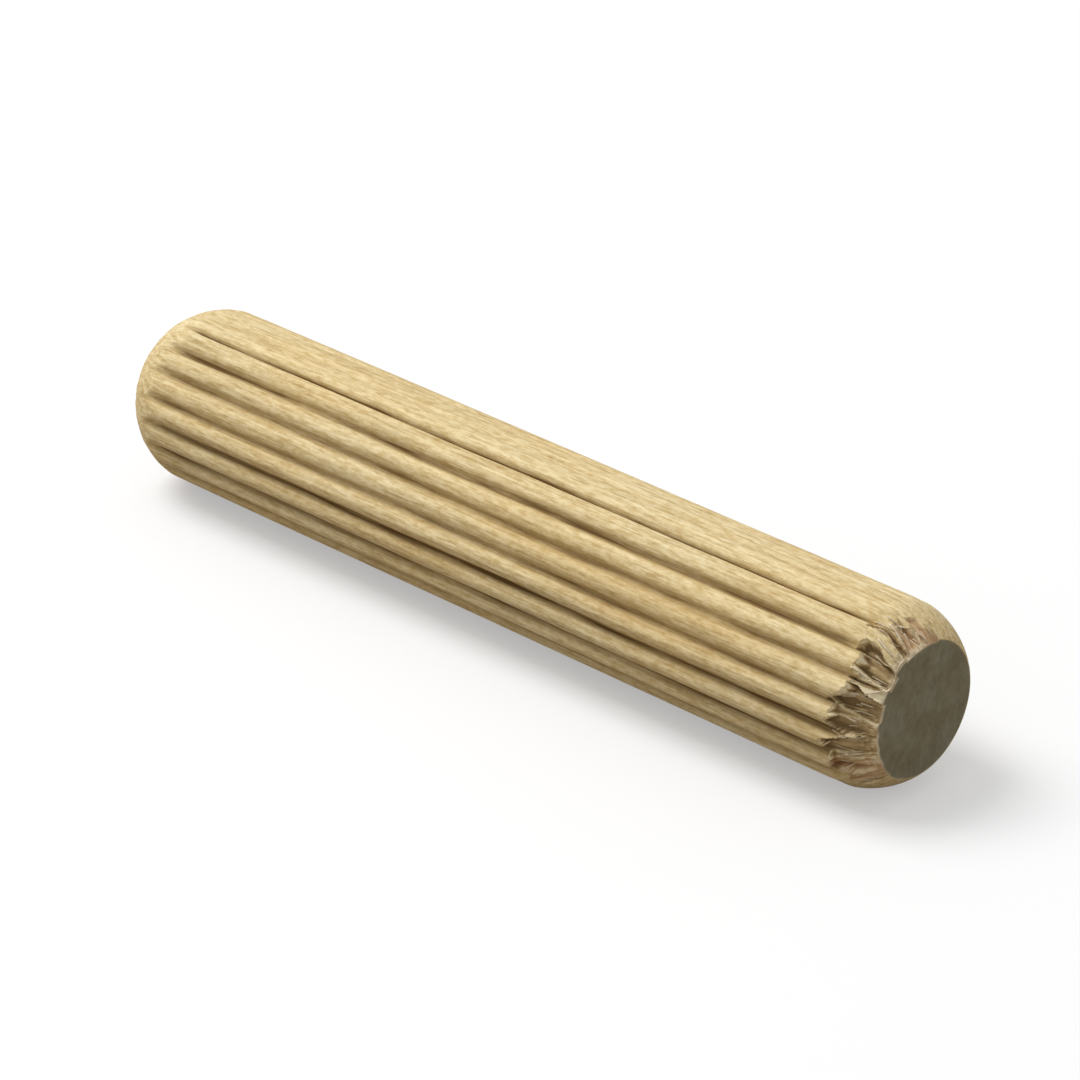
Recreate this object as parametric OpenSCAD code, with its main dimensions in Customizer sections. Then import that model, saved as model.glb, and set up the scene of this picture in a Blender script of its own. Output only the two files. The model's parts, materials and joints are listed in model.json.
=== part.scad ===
// Fluted wooden dowel pin, lying along X on two of its lands.
// One turned stick: straight flutes run its whole length and die out on a
// rounded bevel at each end. The end at +X is torn: on its -Y side the ridges
// keep their full height up to where they broke off, and chipped pockets lead
// from there down to the end face.

/* [Pin] */
// Length from end face to end face
pin_l = 50.8; // [40:0.1:65]
// Diameter over the lands
shank_d = 9.5; // [9:0.1:11]

/* [Flutes] */
// Number of flutes round the shank
flute_count = 20; // [18:2:22]
// Mean width of a flute's mouth, measured round the shank
flute_w = 0.8; // [0.74:0.01:0.82]
// Depth of a flute below the lands
flute_depth = 0.4; // [0.32:0.01:0.42]
// Radius that rounds the two lips of a flute
lip_r = 0.2; // [0.12:0.01:0.24]

/* [Ends] */
// Length of the rounded bevel at each end
bevel_l = 3; // [2:0.1:4]
// Diameter of the flat end faces
face_d = 7; // [6:0.1:8]

/* [Torn end] */
// Length from the end face to where the standing ridges stop at the latest
tear_l = 1.3; // [1:0.1:1.6]
// Depth of the deepest chip below the bottom of the flutes, at its broken wall
chip_depth = 0.42; // [0.2:0.01:0.5]
// Depth to which the deepest chip notches the rim of the end face
chip_notch = 0.35; // [0.1:0.01:0.5]
// Axial run of the slanting wall where a ridge broke off
chip_wall_run = 0.16; // [0.05:0.01:0.4]

/* [Hidden] */
$fn = 96;

shank_r = shank_d / 2;
face_r = face_d / 2;
flute_pitch_deg = 360 / flute_count;
pitch_w = PI * shank_d / flute_count;
// How far every cut runs past the surface that it opens
overrun = shank_r / 8;

// Arc of the bevel: it leaves the shank tangentially and ends on the face's rim
bevel_drop = shank_r - face_r;
bevel_r = (bevel_l * bevel_l + bevel_drop * bevel_drop) / (2 * bevel_drop);
end_x = pin_l / 2;
shoulder_x = end_x - bevel_l;

// Crease at which a lip leaves the land, and share by which lip and bottom arcs cross
lip_crease_deg = 15;
meet_share = 1.02;
root_r = shank_r - flute_depth;

// Places round the pin count flute pitches from the lowest flute towards -Y,
// so a flute sits at a whole number and a ridge at a half.

// Share by which the flutes are pressed wider on the lower side and narrower on the upper
press_share = 0.15;
function mouth_w(place) = flute_w * (1 + press_share * cos(place * flute_pitch_deg));
// Half of a flute's mouth, as an angle at the pin's axis
function mouth_deg(place) = mouth_w(place) / shank_r * 90 / PI;
// Height of the axis when the two lips of the lowest flute touch the ground
axis_z = shank_r * cos(mouth_deg(0));

// Flutes on the upper side that are pressed less deep
shallow_places = [9, 10, 11, 12];
shallow_depth_shares = [0.75, 0.25, 0.25, 0.5];

// Flutes between which the ridges stand without a bevel
standing_from = 3;
standing_to = 8;
// How far the tear runs past those flutes, as a share of the flute pitch
tear_overlap_share = 0.06;

// Chips of the torn end, one for each place where wood broke away
chip_places = [2.6, 3.5, 4.45, 5.3, 6.1, 6.85, 7.65, 8.98, 9.75];
// Reach from the end face, as a share of the bevel's length
chip_reach_shares = [0.48, 0.7, 0.74, 0.66, 0.6, 0.46, 0.56, 0.74, 0.33];
// Width round the shank, as a share of the flute pitch
chip_width_shares = [0.9, 1.05, 1.05, 0.9, 0.95, 0.9, 0.85, 0.24, 1.3];
// Depth of the broken wall and of the notch, as a share of the full depths
chip_depth_shares = [0.1, 0.25, 0.4, 0.55, 0.95, 0.25, 1, 0.3, 0.3];
// Turn of each chip away from the pin's axis, its inner end towards higher places
chip_skews_deg = [-10, 8, -12, 10, 14, -16, 12, -6, 8];

function flute_depth_share(place) = let (
    found = [for (k = [0 : len(shallow_places) - 1]) if (shallow_places[k] == place) shallow_depth_shares[k]]
) len(found) > 0 ? found[0] : 1;

// Turns a shape drawn round Z, with its first flute on +X, so that it lies
// along X with that flute facing down
module lying() {
    translate([0, 0, axis_z]) rotate([0, 90, 0]) children();
}

// Turns a shape to a place round the pin
module at_place(place) {
    rotate([0, 0, -place * flute_pitch_deg]) children();
}

// Half outline of the turned stick, bevelled at its plain end only: distance
// from the axis against height
module stick_outline() {
    translate([0, -shoulder_x]) square([shank_r, shoulder_x + end_x]);
    translate([0, -shoulder_x]) intersection() {
        translate([0, -bevel_l]) square([shank_r, bevel_l]);
        translate([shank_r - bevel_r, 0]) circle(r = bevel_r);
    }
}

// Section of the wood that the bevel takes off the torn end
module bevel_waste() {
    translate([0, shoulder_x]) difference() {
        translate([face_r, 0]) square([bevel_drop + overrun, bevel_l + overrun]);
        translate([shank_r - bevel_r, 0]) circle(r = bevel_r);
    }
}

// Section of the wood that is torn off between the standing ridges and the face
module tear_waste() {
    polygon([
        [shank_r + overrun, end_x - tear_l],
        [root_r, end_x - tear_l],
        [face_r, end_x],
        [face_r, end_x + overrun],
        [shank_r + overrun, end_x + overrun]
    ]);
}

// Section that cuts the flute at a place, with the pin's axis at the origin: each
// lip is an arc that leaves the land at a soft crease, and the bottom arc is sized
// to meet both lips
module flute_section(place) {
    half_deg = mouth_deg(place);
    lip_u = shank_r * sin(half_deg) - lip_r * sin(half_deg - lip_crease_deg);
    lip_v = shank_r * cos(half_deg) - lip_r * cos(half_deg - lip_crease_deg);
    lip_over_root = lip_v - root_r;
    flute_r = meet_share * (lip_u * lip_u + lip_over_root * lip_over_root - lip_r * lip_r)
        / (2 * (lip_r + lip_over_root));
    translate([0, root_r + flute_r]) circle(r = flute_r);
    difference() {
        polygon([
            [0, root_r + flute_r],
            [lip_u, lip_v],
            [lip_u, shank_r + overrun],
            [-lip_u, shank_r + overrun],
            [-lip_u, lip_v]
        ]);
        for (side = [-1, 1]) translate([side * lip_u, lip_v]) circle(r = lip_r);
    }
}

module flute(place) {
    rotate([0, 0, -90]) linear_extrude(height = pin_l + 2 * overrun, center = true) flute_section(place);
}

// Wedge that breaks one ridge off: reach along the pin, width round it, a share
// of the full chip depths and its turn away from the pin's axis
module chip(reach, width, depth_share, skew_deg) {
    wall_r = root_r - depth_share * chip_depth;
    rim_r = face_r - depth_share * chip_notch;
    translate([0, 0, end_x]) rotate([90 - skew_deg, 0, 0])
        linear_extrude(height = width, center = true) polygon([
            [shank_r + overrun, -reach - chip_wall_run],
            [wall_r, -reach],
            [rim_r, 0],
            [rim_r, overrun],
            [shank_r + overrun, overrun]
        ]);
}

// Everything that is missing at the torn end: the bevel where it is whole, and
// the tear and its chips beside it
module torn_end_waste() {
    standing_deg = (standing_to - standing_from) * flute_pitch_deg;
    at_place(standing_from) rotate_extrude(angle = 360 - standing_deg) bevel_waste();
    at_place(standing_to + tear_overlap_share)
        rotate_extrude(angle = standing_deg + 2 * tear_overlap_share * flute_pitch_deg) tear_waste();
    for (k = [0 : len(chip_places) - 1]) at_place(chip_places[k]) chip(
        chip_reach_shares[k] * bevel_l,
        chip_width_shares[k] * pitch_w,
        chip_depth_shares[k],
        chip_skews_deg[k]
    );
}

module dowel_pin() {
    color("burlywood") lying() difference() {
        rotate_extrude() stick_outline();
        for (place = [0 : flute_count - 1]) at_place(place)
            translate([(1 - flute_depth_share(place)) * flute_depth, 0, 0]) flute(place);
        torn_end_waste();
    }
}

dowel_pin();
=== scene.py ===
"""Looks of a fluted wooden dowel pin that lies on two of its lands.

Lengths are in millimetres, and mesh points are written in metres at the end.
Places round the pin count flute pitches from the lowest flute towards -Y.
"""

import json
import math

import bpy
import numpy as np
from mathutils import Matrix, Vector


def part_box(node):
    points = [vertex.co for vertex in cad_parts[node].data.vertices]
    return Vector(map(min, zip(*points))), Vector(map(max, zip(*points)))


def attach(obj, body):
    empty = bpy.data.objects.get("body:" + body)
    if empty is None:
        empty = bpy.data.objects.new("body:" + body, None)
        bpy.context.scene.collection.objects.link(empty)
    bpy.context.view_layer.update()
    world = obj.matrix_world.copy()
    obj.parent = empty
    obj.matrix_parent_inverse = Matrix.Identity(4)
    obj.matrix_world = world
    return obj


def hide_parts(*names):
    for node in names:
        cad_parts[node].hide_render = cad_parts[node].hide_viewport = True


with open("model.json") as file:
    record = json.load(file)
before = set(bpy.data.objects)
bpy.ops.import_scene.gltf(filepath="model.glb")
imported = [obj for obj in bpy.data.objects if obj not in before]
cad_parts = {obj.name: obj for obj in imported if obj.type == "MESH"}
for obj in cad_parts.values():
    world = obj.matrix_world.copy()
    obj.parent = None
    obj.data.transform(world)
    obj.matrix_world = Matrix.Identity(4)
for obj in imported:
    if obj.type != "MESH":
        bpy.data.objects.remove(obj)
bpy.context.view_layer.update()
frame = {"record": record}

# Sizes that the frame gives
MM = 0.001
PIN = "dowel_pin"
SHANK = next(m for m in frame["record"]["mounts"] if m["name"] == "shank")
PIN_LOW, PIN_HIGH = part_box(PIN)
PIN_L = (PIN_HIGH.x - PIN_LOW.x) / MM
SHANK_R = SHANK["dims"]["r_mm"]
AXIS_Z = SHANK["pos_m"][2] / MM
END_X = PIN_L / 2
SHOULDER_X = SHANK["dims"]["length_mm"] / 2
BEVEL_L = END_X - SHOULDER_X

# Flutes and end faces, as on the solid
FLUTE_COUNT = 20
FLUTE_W = 0.8
PRESS_SHARE = 0.15
FLUTE_DEPTH = 0.4
LIP_R = 0.2
LIP_CREASE = math.radians(15)
FACE_R = 3.5
ROOT_R = SHANK_R - FLUTE_DEPTH
PITCH = 2 * math.pi / FLUTE_COUNT
PITCH_W = PITCH * SHANK_R

# Wear of the flutes: how far the lands are rounded over and worn down, and how sharp the valleys are
ROUND_SHARE = 0.72
LAND_WEAR = 0.018
VALLEY_POWER = 1.5
# Flutes on the upper side that are pressed less deep and less wide, as shares by number
DEPTH_SHARES = {9: 0.75, 10: 0.25, 11: 0.25, 12: 0.5}
WIDTH_SHARES = {9: 0.46, 10: 0.65, 11: 0.65}
# Share by which the flutes are darkened more on the lower side as painted shade, and the painted shade of
# single flutes by number
LOW_SIDE_SHADE = 0.2
FLUTE_SHADES = {9: 1.5}
# Length at the plain end over which the flutes run out
RUN_OUT_L = 3.4
# Length over which the flutes blend into the bevels
BEVEL_BLEND_L = 0.06

# Places between which the ridges keep their height up to where they broke off,
# and the distance from the near face at which they start
STANDING = (3.0, 8.0)
STANDING_FROM = 1.05
# Place round which the near bevel is torn most
TORN_PLACE = 6.4
# Chips of the torn end: place, reach as a share of the bevel, width as a share
# of the pitch, depth as a share of the full chip, and turn away from the axis
CHIPS = [
    (2.6, 0.48, 0.90, 0.10, -10),
    (3.5, 0.70, 1.05, 0.25, 8),
    (4.45, 0.74, 1.05, 0.40, -12),
    (5.3, 0.66, 0.90, 0.55, 10),
    (6.1, 0.60, 0.95, 0.95, 14),
    (6.85, 0.46, 0.90, 0.25, -16),
    (7.65, 0.56, 0.85, 1.00, 12),
    (8.98, 0.74, 0.24, 0.30, -6),
    (9.75, 0.33, 1.30, 0.30, 8),
    (10.60, 0.30, 0.90, 0.30, 4),
    (9.55, 0.56, 0.39, 0.20, 14),
]
CHIP_DEPTH = 0.42
CHIP_NOTCH = 0.35
CHIP_WALL_RUN = 0.16
# Length by which a broken ridge reaches further on its upper side than on its lower side
RIDGE_SLANT_L = 0.5
# Length by which a ridge's crest stands out over the chip, by the flute below it
RIDGE_TIP_LS = {4: 0.1, 5: 0.2, 6: 0.35, 7: 0.5}
# Broken ridges slope down to their tips over this share of the wall's height
TIP_SHARE = 0.28
TIP_SLOPE = 1.0
# A chip narrower than this, as a share of the pitch, is a crack that runs to a point
CRACK_WIDTH_SHARE = 0.4
CRACK_TAPER = 0.9
CHIP_TAPER = 0.1
# Slope of a chip's sides, in millimetres for each pitch
CHIP_SIDE_SLOPE = 12
# Layers of broken fibres: fibres round the pin, depth, reach and seed
FRAY_LAYERS = [
    (70, 0.06, 1.5, 32),
    (130, 0.03, 1.2, 33),
    (240, 0.02, 0.8, 34),
]
# Reddish tears: middle place, and half widths at which the red starts and is full
BLUSHES = [
    (10.1, 1.2, 0.8),
    (3.0, 0.8, 0.4),
]

# Pale strands of torn wood: place and distance from the near face at both ends, and width
STRANDS = [
    (6.42, 1.50, 6.58, 0.72, 0.16),
    (6.56, 0.82, 7.05, 0.06, 0.15),
    (6.30, 1.65, 6.45, 1.10, 0.14),
    (7.30, 1.50, 7.20, 0.70, 0.12),
    (8.62, 1.30, 8.30, 0.04, 0.16),
    (8.20, 1.25, 8.05, 0.10, 0.12),
    (9.35, 1.45, 9.05, 0.10, 0.14),
    (9.10, 2.05, 9.25, 0.90, 0.08),
    (5.60, 1.60, 5.35, 0.80, 0.10),
    (5.00, 1.75, 4.70, 0.60, 0.13),
    (4.60, 1.30, 4.85, 0.40, 0.10),
    (4.10, 1.90, 4.00, 0.90, 0.12),
    (3.70, 1.70, 3.95, 0.50, 0.11),
    (3.20, 1.60, 3.45, 0.60, 0.10),
    (2.80, 1.20, 3.05, 0.30, 0.09),
    (7.00, 0.07, 7.60, 0.04, 0.13),
    (7.50, 0.05, 8.30, 0.04, 0.13),
    (8.20, 0.05, 8.90, 0.08, 0.12),
    (9.60, 1.20, 10.30, 0.10, 0.14),
]

# Short splinters on each chip
CHIP_SPLINTERS = 5

# Width of the pale burr on the near rim, how much wider it is, as a painted highlight, round one place on its
# upper side, and its share on the face beside the rim
BURR_W = 0.12
BURR_HIGHLIGHT_W = 0.22
BURR_HIGHLIGHT_PLACE = 8.5
BURR_FACE_SHARE = 0.85

# Depth of the saw marks, and the rings of each end face as shares of its rim
FAR_SAW_DEPTH = 0.02
NEAR_SAW_DEPTH = 0.025
FAR_SHARES = (0.97, 0.9, 0.7, 0.4, 0.15)
NEAR_SHARES = (0.985, 0.96, 0.92, 0.87, 0.81, 0.74, 0.66, 0.57, 0.47, 0.36, 0.24, 0.12)

# Floor: half its width, its white, the share of that white that stays in the
# shadow, and the colour that it throws back
FLOOR_HALF_W = 1500
FLOOR_WHITE = 0.98
OWN_WHITE = 0.4
FLOOR_BOUNCE = (0.31, 0.26, 0.20, 1.0)

# Light in metres and watts, and the camera's place from the pin in pin diameters
KEY_PLACE = (-0.25, -0.1, 0.47)
KEY_SIZE = 0.3
KEY_POWER = 2.1
WORLD_STRENGTH = 0.5
CAMERA_FROM = (16.742, -17.310, 12.454)
CAMERA_TARGET_X = 0.6
CAMERA_ANGLE = math.radians(11.9)

# Mesh density, and the angle from which an edge is sharp
SHARP_ANGLE = math.radians(40)
STEPS_PER_PITCH = 26
COLUMNS = FLUTE_COUNT * STEPS_PER_PITCH
TORN_STEP = 0.04
SPLIT_ZONE_L = 2.4
SPLIT_STEP = 0.15
SHANK_STEP = 1.15
PLAIN_STEP = 0.14


# Noise and small helpers

def smoothstep(low, high, value):
    t = np.clip((value - low) / (high - low), 0, 1)
    return t * t * (3 - 2 * t)


def soft_min(a, b, blend):
    return np.minimum(a, b) - np.maximum(blend - np.abs(a - b), 0) ** 2 / (4 * blend)


def noise(place, along, cells, cell_l, seed):
    """Value noise from -1 to 1 in cells round the pin, each cell_l long along it."""
    u = place / FLUTE_COUNT * cells
    v = (along + END_X) / cell_l
    grid = np.random.default_rng(seed).uniform(-1, 1, (cells, int(PIN_L / cell_l) + 4))
    i, j = np.floor(u).astype(int), np.floor(v).astype(int)
    fu, fv = smoothstep(0, 1, u - i), smoothstep(0, 1, v - j)
    j = np.clip(j, 0, grid.shape[1] - 2)
    a = grid[i % cells, j] * (1 - fu) + grid[(i + 1) % cells, j] * fu
    b = grid[i % cells, j + 1] * (1 - fu) + grid[(i + 1) % cells, j + 1] * fu
    return a * (1 - fv) + b * fv


def fibre_value(place, cells, seed):
    """One random value from 0 to 1 for each fibre round the pin, with hard edges between fibres."""
    values = np.random.default_rng(seed).uniform(0, 1, cells)
    return values[np.floor(place / FLUTE_COUNT * cells).astype(int) % cells]


def pitches_from(place, middle):
    """Signed distance round the pin, in pitches."""
    half = FLUTE_COUNT / 2
    return (place - middle + half) % FLUTE_COUNT - half


def local_mean(values, reach):
    """Mean over a small window of rows and columns, closed round the pin."""
    window = range(-reach, reach + 1)
    across = sum(np.roll(values, k, axis=1) for k in window) / len(window)
    padded = np.pad(across, ((reach, reach), (0, 0)), mode="edge")
    return sum(padded[reach + k:reach + k + len(values)] for k in window) / len(window)


# Form of the pin: radius against place and distance along it

def flute_drop(offset):
    """Drop below the lands at an offset in pitches from a flute's middle.

    A bottom arc meets two lip arcs.
    """
    mouth = FLUTE_W / SHANK_R / 2
    lip_u = SHANK_R * math.sin(mouth) - LIP_R * math.sin(mouth - LIP_CREASE)
    lip_v = SHANK_R * math.cos(mouth) - LIP_R * math.cos(mouth - LIP_CREASE)
    over_root = lip_v - ROOT_R
    bottom_r = (lip_u ** 2 + over_root ** 2 - LIP_R ** 2) / (2 * (LIP_R + over_root))
    angle = np.linspace(0, PITCH / 2, 400)
    bottom_c = ROOT_R + bottom_r
    aside = bottom_c * np.sin(angle)
    bottom = bottom_c * np.cos(angle) - np.sqrt(np.maximum(bottom_r ** 2 - aside ** 2, 0))
    lip_c, lip_a = math.hypot(lip_u, lip_v), math.atan2(lip_u, lip_v)
    across = lip_c * np.sin(angle - lip_a)
    lip = lip_c * np.cos(angle - lip_a) + np.sqrt(np.maximum(LIP_R ** 2 - across ** 2, 0))
    radius = np.where(aside < bottom_r, bottom, lip)
    radius = np.where(angle >= mouth, SHANK_R, np.maximum.accumulate(radius))
    return np.interp(np.abs(offset) * PITCH, angle, SHANK_R - np.minimum(radius, SHANK_R))


def fluted_radius(place, x):
    """Radius of the shank, with rounded lands and flutes that wander and vary a little, and how dark the
    flutes are painted, partly their crushed fibres' own brown and partly painted shade.
    """
    number = np.round(place).astype(int) % FLUTE_COUNT
    rng = np.random.default_rng(11)
    depths = rng.uniform(0.92, 1.06, FLUTE_COUNT)
    press = 1 + PRESS_SHARE * np.cos(np.arange(FLUTE_COUNT) * PITCH)
    widths = rng.uniform(0.95, 1.06, FLUTE_COUNT) * press
    for flute, share in DEPTH_SHARES.items():
        depths[flute] = share
    for flute, share in WIDTH_SHARES.items():
        widths[flute] = share
    wander = 0.030 * noise(place, x, FLUTE_COUNT, 7.0, 12)
    wander = wander + 0.012 * noise(place, x, FLUTE_COUNT * 2, 2.2, 13)
    depth = depths[number] * (1 + 0.08 * noise(place, x, FLUTE_COUNT, 4.0, 14))
    offset = np.clip((place - np.round(place) + wander) / widths[number], -0.5, 0.5)
    rounded = FLUTE_DEPTH * (1 - np.sin(np.pi * np.abs(offset)) ** VALLEY_POWER)
    drop = depth * ((1 - ROUND_SHARE) * flute_drop(offset) + ROUND_SHARE * rounded)
    land = 0.012 * noise(place, x, 150, 16.0, 15) + 0.006 * noise(place, x, 260, 5.0, 16)
    drop = drop * smoothstep(0.2 * RUN_OUT_L, RUN_OUT_L, x + END_X)
    # Painted shade: flutes on the lower side are darkened more, and single flutes get a darkness of their own
    flute_shade_tint = 1 + LOW_SIDE_SHADE * np.maximum(np.cos(place * PITCH), 0)
    for flute, more in FLUTE_SHADES.items():
        flute_shade_tint = np.where(number == flute, more, flute_shade_tint)
    return SHANK_R - drop - LAND_WEAR + land, drop / FLUTE_DEPTH * flute_shade_tint


def bevel_radius(reach_in):
    """Radius of the rounded bevel at a distance in from an end face."""
    drop = SHANK_R - FACE_R
    arc_r = (BEVEL_L ** 2 + drop ** 2) / (2 * drop)
    t = np.clip(BEVEL_L - reach_in, 0, BEVEL_L)
    curved = SHANK_R - (arc_r - np.sqrt(arc_r ** 2 - t ** 2))
    return curved + np.maximum(reach_in - BEVEL_L, 0)


def warped(place, x):
    """Places shifted by slow noise, so that tears run a little askew."""
    askew = 0.20 * noise(place, x, 16, 1.3, 26) + 0.06 * noise(place, x, 50, 0.6, 27)
    shift = 0.12 * noise(place, x, 30, 1.6, 28) + 0.05 * noise(place, x, 80, 0.7, 29)
    return place + askew, x + shift


def chipped(radius, place, x):
    """Cuts the chips of the torn end, with ragged walls and fibrous floors."""
    skew_place, skew_x = warped(place, x)
    d = END_X - x
    ragged = 0.2 * (fibre_value(skew_place, 64, 21) - 0.5) + 0.12 * (fibre_value(place, 150, 22) - 0.5)
    ragged = ragged + skew_x - x
    ragged = ragged - RIDGE_SLANT_L * (place - np.floor(place) - 0.5)
    for flute, tip_l in RIDGE_TIP_LS.items():
        ragged = ragged - tip_l * smoothstep(0.42, 0.12, np.abs(place - flute - 0.5))
    rough = 0.08 * noise(skew_place, x, 44, 0.8, 23) + 0.03 * noise(skew_place, x, 110, 0.9, 24)
    out = radius
    for middle, reach_share, width_share, depth_share, skew_deg in CHIPS:
        slope = math.tan(math.radians(skew_deg))
        aside = pitches_from(skew_place, middle) - slope * d / PITCH_W
        reach = reach_share * BEVEL_L + ragged - slope * aside * PITCH_W
        wall_r = ROOT_R - depth_share * CHIP_DEPTH
        rim_r = FACE_R - depth_share * CHIP_NOTCH
        run = np.clip(d / reach, 0, 1)
        floor = rim_r + (wall_r - rim_r) * run + rough * (0.35 + 0.65 * run)
        past = np.maximum(d - reach, 0)
        tip = (1 - TIP_SHARE) * (SHANK_R - wall_r) + TIP_SLOPE * past
        wall = np.minimum(past / CHIP_WALL_RUN * (SHANK_R - wall_r), tip)
        taper = CRACK_TAPER if width_share < CRACK_WIDTH_SHARE else CHIP_TAPER
        edge = width_share / 2 * (1 - taper * run) + 0.04 * noise(place, x, 120, 0.35, 25)
        side = np.maximum(np.abs(aside) - edge, 0) * CHIP_SIDE_SLOPE
        out = np.minimum(out, floor + wall + side)
    return out


def torn_share(place):
    """How torn the near bevel is round the pin: most on the side of the chips."""
    return 0.15 + 0.85 * smoothstep(4.6, 2.9, np.abs(pitches_from(place, TORN_PLACE)))


def frayed(radius, place, x):
    """Breaks single fibres off short near the torn end, in layers."""
    d = END_X - x
    share = torn_share(place)
    lean = 0.06 * noise(place, x, 24, 1.5, 31)
    out = radius
    for cells, depth, reach, seed in FRAY_LAYERS:
        length = reach * share * fibre_value(place + lean, cells, seed) ** 1.7
        out = out - depth * share * smoothstep(0.06, -0.02, d - length)
    return out


def pin_form(place, x):
    """Radius at each point of the side, as torn, as bevelled before the tears and with standing ridges.

    Then how strongly a flute is darkened there, by its fibres' own brown and by painted shade, first as
    pressed, and then without what the bevel took off.
    """
    d_near, d_far = END_X - x, END_X + x
    section, flute = fluted_radius(place, x)
    far_bevel = bevel_radius(d_far) + 0.02 * noise(place, x, 120, 0.8, 41)
    standing = soft_min(section, far_bevel, BEVEL_BLEND_L)
    bevelled = soft_min(standing, bevel_radius(d_near), BEVEL_BLEND_L)
    on_torn_side = (place > STANDING[0]) & (place < STANDING[1]) & (d_near > STANDING_FROM)
    standing = np.where(on_torn_side, standing, bevelled)
    torn = frayed(chipped(standing, place, x), place, x)
    torn = torn - 0.03 * smoothstep(0.05, -0.02, d_far - 0.9 * fibre_value(place, 200, 42) ** 2)
    wood_left = np.where(on_torn_side, SHANK_R, bevel_radius(d_near)) - ROOT_R
    return torn, bevelled, standing, flute, flute * np.clip(wood_left / FLUTE_DEPTH, 0, 1)


def tear_masks(form, bevelled, standing, flute, place, x):
    """Where the wood is torn, how pale the tear is, with painted highlight on broken ridge tips and crests
    and painted shade in hollows and deep chip floors, the burr on the near rim with a painted highlight on
    its upper side, and where tears are reddish.
    """
    broken = standing - form
    torn = smoothstep(0.02, 0.08, broken)
    # Painted light in the tear's tone: broken ridge tips and crests are painted pale as highlight, and
    # hollows and deep chip floors are painted dark as shade; patch is the torn wood's own random tone
    edge = smoothstep(0.5, 0.1, broken) * (1 - 0.85 * smoothstep(0.15, 0.6, flute))
    edge = edge * (0.25 + 0.75 * smoothstep(2.9, 2.4, np.abs(pitches_from(place, sum(STANDING) / 2))))
    crest_light_and_shade = np.clip((form - local_mean(form, 4)) / 0.07, -1, 1)
    depth = smoothstep(0.3, 0.75, bevelled - form)
    patch = noise(place, x, 36, 0.9, 61)
    tone = np.clip(0.5 + 0.36 * edge + 0.32 * crest_light_and_shade - 0.26 * depth + 0.2 * patch, 0, 1)
    # Painted highlight: round one place on the upper side the burr is painted wider and stronger
    burr_highlight = smoothstep(1.9, 1.2, np.abs(pitches_from(place, BURR_HIGHLIGHT_PLACE)))
    strength = 0.55 + 0.3 * burr_highlight + (0.45 - 0.25 * burr_highlight) * noise(place, x, 50, 1.0, 62)
    rim = smoothstep(BURR_W + BURR_HIGHLIGHT_W * burr_highlight, 0.0, END_X - x) * torn_share(place)
    rim = rim * np.minimum(strength, 1)
    blush = np.zeros_like(place)
    for middle, start, full in BLUSHES:
        blush = np.maximum(blush, smoothstep(start, full, np.abs(place - middle)))
    blush = blush * (0.75 + 0.25 * noise(place, x, 50, 0.8, 63))
    return torn, tone, rim, blush


# Mesh of the pin

def row_places():
    """Distances along the pin at which the mesh has a row, from the plain end to the torn end."""
    def stretch(start, stop, step):
        return np.linspace(start, stop, int(round((stop - start) / step)), endpoint=False)
    split_x = SHOULDER_X - SPLIT_ZONE_L
    return np.concatenate([
        stretch(-END_X, -SHOULDER_X, PLAIN_STEP),
        stretch(-SHOULDER_X, split_x, SHANK_STEP),
        stretch(split_x, SHOULDER_X, SPLIT_STEP),
        np.linspace(SHOULDER_X, END_X, int(round(BEVEL_L / TORN_STEP)) + 1),
    ])


def points_at(x, place, radius):
    angle = place * PITCH
    return np.stack([x + 0 * radius, -radius * np.sin(angle), AXIS_Z - radius * np.cos(angle)], axis=-1)


def cap_rings(end_x, place, rim_radius, shares, saw_depth):
    """Rings that close an end face, from its rim to its middle, with saw marks across it."""
    rings = []
    for share in shares:
        ring = points_at(end_x, place, rim_radius * share)
        across, up = ring[:, 1] + 10, ring[:, 2]
        marks = noise(across + 0.35 * up, up, 90, 2.5, 51) + 0.6 * noise(across, up, 60, 0.5, 52)
        ring[:, 0] -= math.copysign(saw_depth, end_x) * np.abs(marks) * min(1, (1 - share) * 10)
        rings.append(ring)
    return rings


def new_object(name, points, faces):
    mesh = bpy.data.meshes.new(name)
    mesh.from_pydata((np.asarray(points) * MM).tolist(), [], faces)
    mesh.validate()
    mesh.shade_smooth()
    made = bpy.data.objects.new(name, mesh)
    bpy.context.scene.collection.objects.link(made)
    return made


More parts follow.
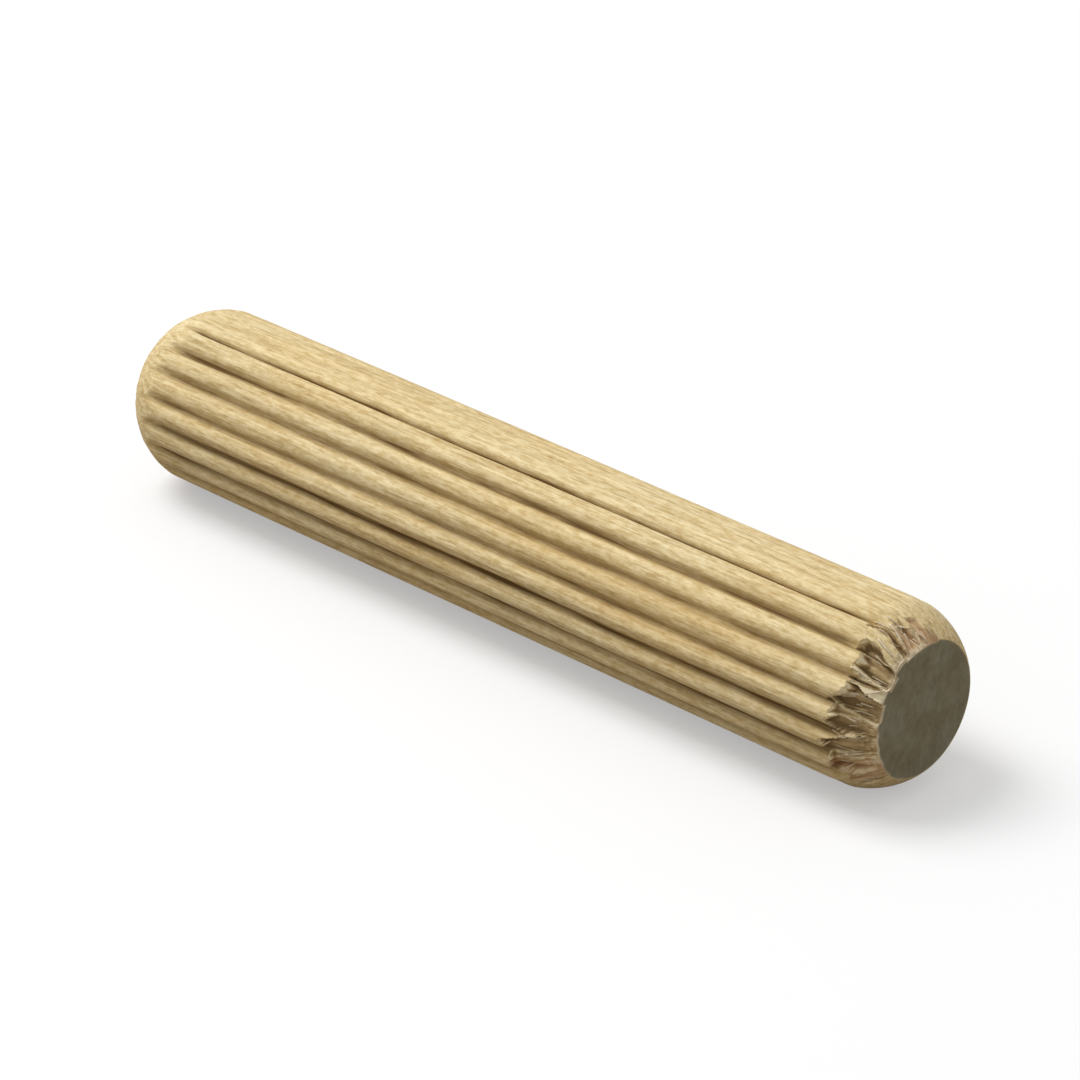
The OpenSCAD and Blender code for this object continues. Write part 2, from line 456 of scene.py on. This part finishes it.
def build_pin():
    rows = row_places()
    places = np.arange(COLUMNS) / STEPS_PER_PITCH
    place, x = np.meshgrid(places, rows)
    radius, bevelled, standing, flute, flute_shade_tint = pin_form(place, x)
    torn, tone, rim, blush = tear_masks(radius, bevelled, standing, flute, place, x)
    far_cap = cap_rings(-END_X, places, radius[0], FAR_SHARES, FAR_SAW_DEPTH)
    near_cap = cap_rings(END_X, places, radius[-1], NEAR_SHARES, NEAR_SAW_DEPTH)
    layers = far_cap[::-1] + list(points_at(x, place, radius)) + near_cap
    points = np.concatenate(layers + [[[-END_X, 0, AXIS_Z]], [[END_X, 0, AXIS_Z]]])

    count = len(layers)
    index = np.arange(count * COLUMNS).reshape(count, COLUMNS)
    right = np.roll(index, -1, axis=1)
    quads = np.stack([index[:-1], index[1:], right[1:], right[:-1]], axis=-1).reshape(-1, 4)
    far_middle, near_middle = count * COLUMNS, count * COLUMNS + 1
    far_fan = [(far_middle, a, b) for a, b in zip(index[0], right[0])]
    near_fan = [(near_middle, b, a) for a, b in zip(index[-1], right[-1])]
    pin = new_object("dowel_pin_wood", points, quads.tolist() + far_fan + near_fan)
    pin.data.set_sharp_from_angle(angle=SHARP_ANGLE)

    def spread(side_values, cap_value, near_ring=0.0):
        near = np.full((len(near_cap), COLUMNS), cap_value)
        near[0] = np.maximum(near[0], near_ring)
        far = np.full(len(far_cap) * COLUMNS, cap_value)
        return np.concatenate([far, side_values.ravel(), near.ravel(), [cap_value, cap_value]])

    for name, values in (
        ("flute", spread(flute_shade_tint, 0.0)),
        ("torn", spread(torn, 0.0)),
        ("tear_shade_and_tone", spread(tone, 0.5)),
        ("rim", spread(rim, 0.0, BURR_FACE_SHARE * rim[-1])),
        ("blush", spread(blush, 0.0)),
        ("end_face", spread(0 * radius, 1.0)),
    ):
        layer = pin.data.attributes.new(name, "FLOAT", "POINT")
        layer.data.foreach_set("value", values.astype(np.float32))
    return pin


# Splinters of the torn end

def strand(spine, outward, width):
    """Points and faces of one thin splinter along a spine, widest near its root and sharp at its tip."""
    count = len(spine)
    along = np.gradient(spine, axis=0)
    across = np.cross(along, outward)
    across /= np.linalg.norm(across, axis=1, keepdims=True)
    points = []
    for k in range(count - 1):
        half = width / 2 * math.sqrt(1 - (k / (count - 1)) ** 2)
        points += [spine[k] + across[k] * half, spine[k] + outward[k] * half * 0.5,
                   spine[k] - across[k] * half, spine[k] - outward[k] * half * 0.5]
    points.append(spine[-1])
    tip = len(points) - 1
    faces = [(3, 2, 1, 0)]
    for ring in range(0, tip - 4, 4):
        faces += [(ring + k, ring + (k + 1) % 4, ring + 4 + (k + 1) % 4, ring + 4 + k) for k in range(4)]
    faces += [(tip - 4 + k, tip - 4 + (k + 1) % 4, tip) for k in range(4)]
    return points, faces


def spots_of_splinters(rng):
    """Ends and widths of all strands: those listed, and short ones on the chips."""
    spots = list(STRANDS)
    for middle, reach_share, width_share, *_ in CHIPS:
        for _ in range(CHIP_SPLINTERS):
            place = middle + width_share * rng.uniform(-0.5, 0.5)
            d = reach_share * BEVEL_L * rng.uniform(0.45, 1.08)
            tip_d = max(d - rng.uniform(0.3, 0.7), 0.02)
            spots.append((place, d, place + rng.uniform(-0.12, 0.12), tip_d, rng.uniform(0.05, 0.1)))
    return spots


def build_splinters():
    """Splinters at the broken ridge ends and on the torn floors, each laid along the torn form."""
    rng = np.random.default_rng(71)
    share = np.linspace(0, 1, 9)
    points, faces = [], []
    for place_a, d_a, place_b, d_b, width in spots_of_splinters(rng):
        bow = rng.uniform(-0.03, 0.03) * np.sin(np.pi * share)
        place = place_a + (place_b - place_a) * share + bow
        x = END_X - d_a - (d_b - d_a) * share
        form = pin_form(place, x)[0]
        smooth = np.polyval(np.polyfit(share, form, 2), share)
        lift = 0.02 + rng.uniform(0.0, 0.06) * share ** 2
        radius = np.maximum(smooth, form - 0.05) + lift
        angle = place * PITCH
        outward = np.stack([0 * angle, -np.sin(angle), -np.cos(angle)], axis=-1)
        more, sides = strand(points_at(x, place, radius), outward, width)
        faces += [tuple(len(points) + k for k in side) for side in sides]
        points += more
    return new_object("torn_splinters", points, faces)


# Materials

class Shader:
    """Small helper that adds nodes to a material and joins them."""

    def __init__(self, name):
        self.material = bpy.data.materials.new(name)
        self.material.use_nodes = True
        self.tree = self.material.node_tree
        self.surface = self.tree.nodes["Principled BSDF"]

    def add(self, kind, links=None, **settings):
        node = self.tree.nodes.new(kind)
        for key, value in settings.items():
            setattr(node, key, value)
        for key, value in (links or {}).items():
            self.join(value, node.inputs[key])
        return node

    def join(self, value, socket):
        if isinstance(value, bpy.types.NodeSocket):
            self.tree.links.new(value, socket)
        else:
            socket.default_value = value

    def mask(self, name):
        return self.add("ShaderNodeAttribute", attribute_name=name).outputs["Fac"]

    def math(self, operation, a, b=0.0, clamp=False):
        return self.add("ShaderNodeMath", {0: a, 1: b}, operation=operation, use_clamp=clamp).outputs[0]

    def mix(self, share, a, b, blend="MIX"):
        node = self.add("ShaderNodeMix", data_type="RGBA", blend_type=blend)
        for value, socket in ((share, 0), (a, 6), (b, 7)):
            self.join(value, node.inputs[socket])
        return node.outputs[2]

    def scaled(self, scale, turn=(0, 0, 0)):
        """Object coordinates in millimetres, turned and then scaled for each axis."""
        where = self.add("ShaderNodeTexCoord").outputs["Object"]
        if any(turn):
            where = self.add("ShaderNodeMapping", {"Vector": where, "Rotation": turn}).outputs[0]
        per_metre = tuple(s / MM for s in scale)
        return self.add("ShaderNodeMapping", {"Vector": where, "Scale": per_metre}).outputs[0]

    def grain(self, scale, detail=3.0, roughness=0.5, turn=(0, 0, 0)):
        links = {"Vector": self.scaled(scale, turn), "Scale": 1.0, "Detail": detail, "Roughness": roughness}
        return self.add("ShaderNodeTexNoise", links).outputs["Fac"]

    def ramp(self, value, stops):
        node = self.add("ShaderNodeValToRGB", {"Fac": value})
        elements = node.color_ramp.elements
        while len(elements) < len(stops):
            elements.new(0.5)
        for element, (place, colour) in zip(elements, stops):
            element.position = place
            element.color = colour
        return node.outputs["Color"]


def srgb(red, green, blue):
    """Linear colour of an 8-bit screen colour."""
    def linear(level):
        c = level / 255
        return c / 12.92 if c <= 0.04045 else ((c + 0.055) / 1.055) ** 2.4
    return (linear(red), linear(green), linear(blue), 1.0)


def grey(level):
    return (level, level, level, 1.0)


def wood_material():
    s = Shader("pale_wood")
    streak = s.grain((0.05, 1.5, 1.5), detail=4, roughness=0.55)
    side = s.ramp(streak, [
        (0.25, srgb(225, 203, 154)), (0.45, srgb(236, 217, 171)),
        (0.6, srgb(243, 225, 180)), (0.8, srgb(249, 234, 194))])
    fibre = s.grain((0.35, 7, 7), detail=3, roughness=0.65)
    fibre = s.ramp(fibre, [(0.3, srgb(212, 204, 188)), (0.56, grey(1.0))])
    side = s.mix(0.85, side, fibre, "MULTIPLY")
    pore = s.ramp(s.grain((1.1, 8, 8), detail=2), [(0.56, grey(1.0)), (0.7, srgb(206, 187, 148))])
    side = s.mix(0.42, side, pore, "MULTIPLY")
    fleck = s.grain((1.6, 4.5, 4.5), detail=3, roughness=0.65)
    fleck = s.ramp(fleck, [(0.36, srgb(231, 221, 199)), (0.58, grey(1.0))])
    side = s.mix(0.9, side, fleck, "MULTIPLY")
    tone = s.ramp(s.grain((0.08, 0.25, 0.25), detail=1), [(0.35, srgb(250, 242, 228)), (0.65, grey(1.0))])
    side = s.mix(0.7, side, tone, "MULTIPLY")

    # Flutes darkened towards brown on their flanks and dark brown in their valleys: partly the crushed
    # fibres' own colour, partly painted shade
    streaky = s.grain((0.25, 6, 6), detail=3, roughness=0.6)
    streaky = s.math("MULTIPLY", s.math("SUBTRACT", streaky, 0.5), 0.7)
    flute = s.math("MULTIPLY", s.mask("flute"), s.math("ADD", streaky, 1.0))
    flank_shade = s.math("POWER", flute, 1.5)
    side = s.mix(s.math("MULTIPLY", flank_shade, 0.5, clamp=True), side, srgb(166, 133, 71))
    # Painted shade at the bottoms of the valleys
    valley_shade = s.math("POWER", flute, 4.0)
    side = s.mix(s.math("MULTIPLY", valley_shade, 0.76, clamp=True), side, srgb(98, 70, 28))

    wisps = s.grain((0.8, 8, 8), detail=3, roughness=0.6)
    wisps = s.math("MULTIPLY", s.math("SUBTRACT", wisps, 0.5), 0.5)
    # Torn wood from dark to pale by the tear's tone, which carries painted shade in hollows and painted
    # highlight on tips and crests
    torn = s.ramp(s.math("ADD", s.mask("tear_shade_and_tone"), wisps, clamp=True), [
        (0.1, srgb(138, 114, 77)), (0.35, srgb(176, 150, 107)),
        (0.6, srgb(210, 186, 140)), (0.85, srgb(255, 241, 203))])
    torn = s.mix(s.math("MULTIPLY", s.mask("blush"), 0.5), torn, srgb(184, 134, 98))
    colour = s.mix(s.mask("torn"), side, torn)

    saw = s.grain((1, 2.6, 1.5), detail=5, roughness=0.72, turn=(0.4, 0, 0))
    end = s.ramp(saw, [(0.3, srgb(129, 124, 103)), (0.5, srgb(142, 137, 115)), (0.7, srgb(154, 149, 127))])
    cloud = s.ramp(s.grain((0.6, 0.6, 0.6), detail=2), [(0.35, srgb(236, 228, 217)), (0.65, grey(1.0))])
    end = s.mix(1.0, end, cloud, "MULTIPLY")
    pit = s.ramp(s.grain((1, 14, 14), detail=2), [(0.3, grey(0.8)), (0.42, grey(1.0))])
    colour = s.mix(s.mask("end_face"), colour, s.mix(0.5, end, pit, "MULTIPLY"))
    # Pale burr on the near rim, with a painted highlight on its upper side
    colour = s.mix(s.mask("rim"), colour, srgb(228, 211, 180))
    s.join(colour, s.surface.inputs["Base Color"])
    s.surface.inputs["Roughness"].default_value = 0.75
    s.surface.inputs["Specular IOR Level"].default_value = 0.25

    relief = s.grain((0.6, 11, 11), detail=3)
    bump = s.add("ShaderNodeBump", {"Height": relief, "Strength": 0.5, "Distance": 0.06 * MM})
    s.join(bump.outputs["Normal"], s.surface.inputs["Normal"])
    return s.material


def splinter_material():
    s = Shader("fresh_splinters")
    tone = s.ramp(s.grain((0.7, 3, 3), detail=2), [(0.35, srgb(200, 176, 134)), (0.65, srgb(242, 228, 198))])
    s.join(tone, s.surface.inputs["Base Color"])
    s.surface.inputs["Roughness"].default_value = 0.8
    s.surface.inputs["Specular IOR Level"].default_value = 0.2
    return s.material


def floor_material():
    """Near white where it is seen, and darker where it only throws light back onto the pin."""
    s = Shader("pale_floor")
    path = s.add("ShaderNodeLightPath").outputs
    seen = s.math("MAXIMUM", path["Is Camera Ray"], path["Is Glossy Ray"])
    seen = s.math("MAXIMUM", seen, path["Is Transmission Ray"])
    s.join(s.mix(seen, FLOOR_BOUNCE, grey(FLOOR_WHITE - OWN_WHITE)), s.surface.inputs["Base Color"])
    s.surface.inputs["Emission Color"].default_value = grey(1.0)
    s.join(s.math("MULTIPLY", seen, OWN_WHITE), s.surface.inputs["Emission Strength"])
    s.surface.inputs["Roughness"].default_value = 1.0
    s.surface.inputs["Specular IOR Level"].default_value = 0.0
    return s.material


# Stage, light and camera

def build_floor():
    half = FLOOR_HALF_W
    corners = [(-half, -half, 0), (half, -half, 0), (half, half, 0), (-half, half, 0)]
    floor = new_object("floor", corners, [(0, 1, 2, 3)])
    floor.data.materials.append(floor_material())


def area_light(name, place, target, size, power):
    data = bpy.data.lights.new(name, "AREA")
    data.size = size
    data.energy = power
    light = bpy.data.objects.new(name, data)
    light.location = place
    light.rotation_euler = (Vector(target) - Vector(place)).to_track_quat("-Z", "Y").to_euler()
    bpy.context.scene.collection.objects.link(light)


def build_lights():
    area_light("key", KEY_PLACE, (0, 0, AXIS_Z * MM), KEY_SIZE, KEY_POWER)
    world = bpy.data.worlds.new("studio")
    world.use_nodes = True
    background = world.node_tree.nodes["Background"]
    background.inputs["Color"].default_value = grey(1.0)
    background.inputs["Strength"].default_value = WORLD_STRENGTH
    bpy.context.scene.world = world


def build_camera():
    """Looks at the pin so that its torn end points to the front right."""
    towards = Vector(CAMERA_FROM) * 2 * SHANK_R * MM
    target = Vector((CAMERA_TARGET_X, 0, AXIS_Z)) * MM
    data = bpy.data.cameras.new("camera")
    data.sensor_fit = "HORIZONTAL"
    data.angle = CAMERA_ANGLE
    data.clip_start = 0.01
    camera = bpy.data.objects.new("camera", data)
    camera.location = Vector((0, 0, AXIS_Z * MM)) + towards
    camera.rotation_euler = (target - camera.location).to_track_quat("-Z", "Y").to_euler()
    bpy.context.scene.collection.objects.link(camera)
    bpy.context.scene.camera = camera


pin = build_pin()
pin.data.materials.append(wood_material())
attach(pin, "root")
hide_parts(PIN)

splinters = build_splinters()
splinters.data.materials.append(splinter_material())
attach(splinters, "root")

build_floor()
build_lights()
build_camera()
bpy.context.scene.view_settings.view_transform = "Standard"
